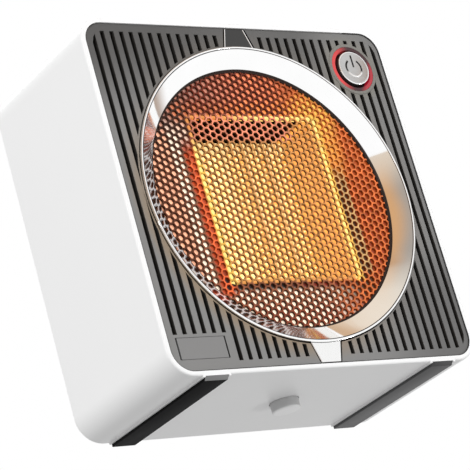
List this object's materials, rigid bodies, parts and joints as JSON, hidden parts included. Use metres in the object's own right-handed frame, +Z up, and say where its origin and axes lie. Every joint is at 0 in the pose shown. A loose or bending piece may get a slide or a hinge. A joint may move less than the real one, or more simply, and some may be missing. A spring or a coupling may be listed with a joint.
{
  "type": "fan heater",
  "caption": "Small square free-standing fan heater: white shell, grey slotted front, dished chrome ring over a hexagonal guard and glowing heater, lit push button, rubber feet.",
  "frame": {"origin": "on the plane of the feet, under the middle of the shell", "axes": "+Z up, +X to the right seen from the front, +Y to the back; the front faces -Y"},
  "size_m": [0.154, 0.0728, 0.1582],
  "materials": {
    "white_plastic": "satin moulded",
    "grey_plastic": "fine moulded grain",
    "badge_grey": "plain, bare",
    "chrome_trim": "polished plating",
    "smoked_window": "smoked gloss",
    "guard_metal": "dark heat-proof lacquer",
    "reflector_metal": "bright sheet",
    "black_plastic": "heat-proof moulding",
    "duct_metal": "bright sheet",
    "glowing_ceramic": "hot",
    "glowing_fins": "hot folded sheet",
    "brass_parts": "plain",
    "steel_parts": "zinc plated",
    "motor_steel": "satin",
    "fan_plastic": "moulded",
    "foot_rubber": "matte",
    "red_light": "lit translucent",
    "button_metal": "fine brushed",
    "board_green": "lacquered",
    "relay_blue": "moulded",
    "terminal_green": "moulded"
  },
  "bodies": {
    "housing": {"housing_shell": "white_plastic", "foot_left": "foot_rubber", "foot_right": "foot_rubber", "front_panel": "grey_plastic", "blank_badge": "badge_grey", "chrome_ring": "chrome_trim", "top_trim": "chrome_trim", "top_trim_window": "smoked_window", "bottom_trim": "chrome_trim", "mesh_guard": "guard_metal", "reflector_plate": "reflector_metal", "chassis_frame": "black_plastic", "heater_duct": "duct_metal", "ptc_end_bars": "glowing_ceramic", "ptc_ceramic_bars": "glowing_ceramic", "ptc_terminals": "brass_parts", "ptc_fins": "glowing_fins", "thermal_cutout": "steel_parts", "thermal_fuse": "steel_parts", "fan_shroud": "black_plastic", "motor_bush": "brass_parts", "motor_bracket": "motor_steel", "motor_body": "motor_steel", "rear_cover": "white_plastic", "cord_gland": "foot_rubber", "button_light_ring": "red_light", "button_guide": "black_plastic", "button_spring": "steel_parts", "button_switch": "black_plastic", "control_board": "board_green", "control_relay": "relay_blue", "board_terminals": "terminal_green", "plunger_guide": "black_plastic", "plunger_spring": "steel_parts", "tip_switch": "black_plastic", "rear_screws": "steel_parts", "chassis_screws": "steel_parts", "duct_screws": "steel_parts", "shroud_screws": "steel_parts", "bracket_screws": "steel_parts", "motor_screws": "steel_parts", "board_screws": "steel_parts", "tip_switch_screws": "steel_parts"},
    "fan": {"fan_impeller": "fan_plastic", "motor_shaft": "steel_parts"},
    "button": {"power_button_cap": "button_metal"},
    "plunger": {"tip_plunger": "white_plastic"},
    "lever": {"tip_switch_lever": "steel_parts"}
  },
  "joints": [
    {"name": "fan_spin", "type": "hinge", "parent": "housing", "child": "fan", "pos_m": [0, 0, 0.0786], "axis": [0, 1, 0], "continuous": true},
    {"name": "power_press", "type": "slide", "parent": "housing", "child": "button", "axis": [0, 1, 0], "range_m": [0, 0.0012], "stiffness_N_per_m": 1200, "springref_m": -0.0005, "deforming": ["button_spring"]},
    {"name": "plunger_slide", "type": "slide", "parent": "housing", "child": "plunger", "axis": [0, 0, 1], "range_m": [0, 0.0036], "stiffness_N_per_m": 200, "springref_m": -0.002, "deforming": ["plunger_spring"]},
    {"name": "lever_swing", "type": "hinge", "parent": "housing", "child": "lever", "pos_m": [-0.012, 0, 0.02465], "axis": [0, -1, 0], "range_deg": [0, 16.3]}
  ],
  "couplings": [
    {"joint": "lever_swing", "follows": "plunger_slide", "rad_per_m": 78.7}
  ]
}
